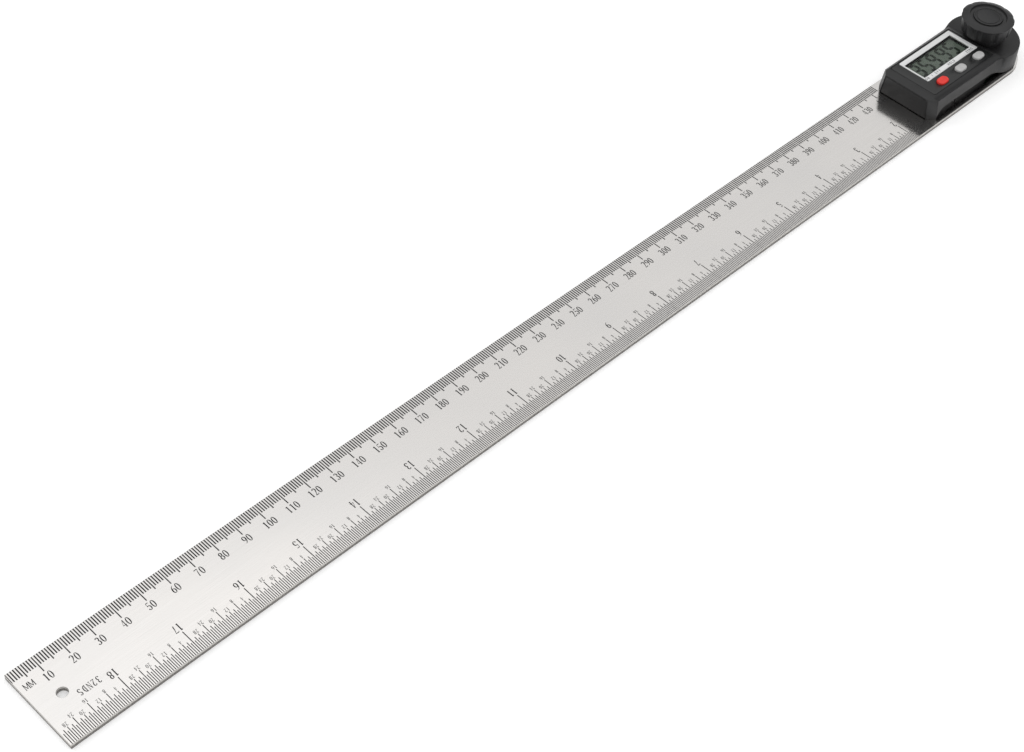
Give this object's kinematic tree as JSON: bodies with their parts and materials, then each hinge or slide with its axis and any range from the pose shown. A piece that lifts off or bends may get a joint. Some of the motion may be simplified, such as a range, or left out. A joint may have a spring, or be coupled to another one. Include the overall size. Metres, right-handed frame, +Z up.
{
  "type": "digital angle finder",
  "caption": "Digital angle finder rule with two flat steel arms on one pivot, a moulded display housing, push keys, a battery drawer and a fluted locking knob.",
  "frame": {"origin": "on the pivot axis, at the underside of the lower blade", "axes": "+X from the blades' free ends to the pivot, +Y from the inch edge to the millimetre edge, +Z up out of the knob"},
  "size_m": [0.5179, 0.035, 0.0224],
  "materials": {
    "stainless_blade": "satin stainless steel",
    "turned_steel": "turned, bright",
    "spring_brass": "bright",
    "black_shell": "fine moulded texture",
    "inner_plastic": "moulded",
    "silver_plastic": "satin silver",
    "red_key": "satin",
    "grey_key": "satin",
    "clear_window": "clear, polished",
    "display_glass": "grey green, polished",
    "circuit_board": "green solder mask",
    "black_resin": "glossy",
    "grey_rubber": "matt",
    "bearing_plastic": "waxy"
  },
  "bodies": {
    "upper_arm": {"upper_blade": "stainless_blade", "friction_washer": "bearing_plastic", "housing_base": "inner_plastic", "housing_top": "black_shell", "fascia_plate": "black_shell", "bezel_frame": "silver_plastic", "display_window": "clear_window", "lcd_glass": "display_glass", "zebra_strip_1": "grey_rubber", "zebra_strip_2": "grey_rubber", "main_board": "circuit_board", "sensor_chip": "black_resin", "key_switch_1": "turned_steel", "key_switch_2": "turned_steel", "key_switch_3": "turned_steel", "case_screw_1": "turned_steel", "case_screw_2": "turned_steel", "case_screw_3": "turned_steel", "case_screw_4": "turned_steel", "board_screw_1": "turned_steel", "board_screw_2": "turned_steel", "board_screw_3": "turned_steel", "cell_spring_plus": "spring_brass", "cell_spring_minus": "spring_brass"},
    "lower_arm": {"lower_blade": "stainless_blade", "pivot_hub": "turned_steel", "hub_rivet_1": "turned_steel", "hub_rivet_2": "turned_steel", "hub_rivet_3": "turned_steel", "hub_rivet_4": "turned_steel", "encoder_rotor": "circuit_board", "rotor_clip": "turned_steel"},
    "battery_drawer": {"battery_tray": "black_shell", "coin_cell": "turned_steel"},
    "power_key": {"button_power": "red_key"},
    "hold_key": {"button_hold": "grey_key"},
    "zero_key": {"button_zero": "grey_key"},
    "clamp_washer": {"thrust_washer": "turned_steel"},
    "knob": {"lock_knob": "black_shell", "knob_insert": "spring_brass", "knob_cap": "black_shell"}
  },
  "joints": [
    {"name": "arm_pivot", "type": "hinge", "parent": "upper_arm", "child": "lower_arm", "pos_m": [0, 0, 0], "axis": [0, 0, 1], "continuous": true},
    {"name": "washer_lift", "type": "slide", "parent": "lower_arm", "child": "clamp_washer", "axis": [0, 0, 1], "range_m": [0, 0.00081]},
    {"name": "knob_turn", "type": "hinge", "parent": "clamp_washer", "child": "knob", "pos_m": [0, 0, 0.015], "axis": [0, 0, 1], "range_deg": [0, 288]},
    {"name": "battery_slide", "type": "slide", "parent": "upper_arm", "child": "battery_drawer", "axis": [-1, 0, 0], "range_m": [0, 0.022]},
    {"name": "power_press", "type": "slide", "parent": "upper_arm", "child": "power_key", "axis": [0, 0, -1], "range_m": [0, 0.0005], "stiffness_N_per_m": 300},
    {"name": "hold_press", "type": "slide", "parent": "upper_arm", "child": "hold_key", "axis": [0, 0, -1], "range_m": [0, 0.0005], "stiffness_N_per_m": 300},
    {"name": "zero_press", "type": "slide", "parent": "upper_arm", "child": "zero_key", "axis": [0, 0, -1], "range_m": [0, 0.0005], "stiffness_N_per_m": 300}
  ],
  "couplings": [
    {"joint": "washer_lift", "follows": "knob_turn", "m_per_rad": 0.00015915}
  ]
}
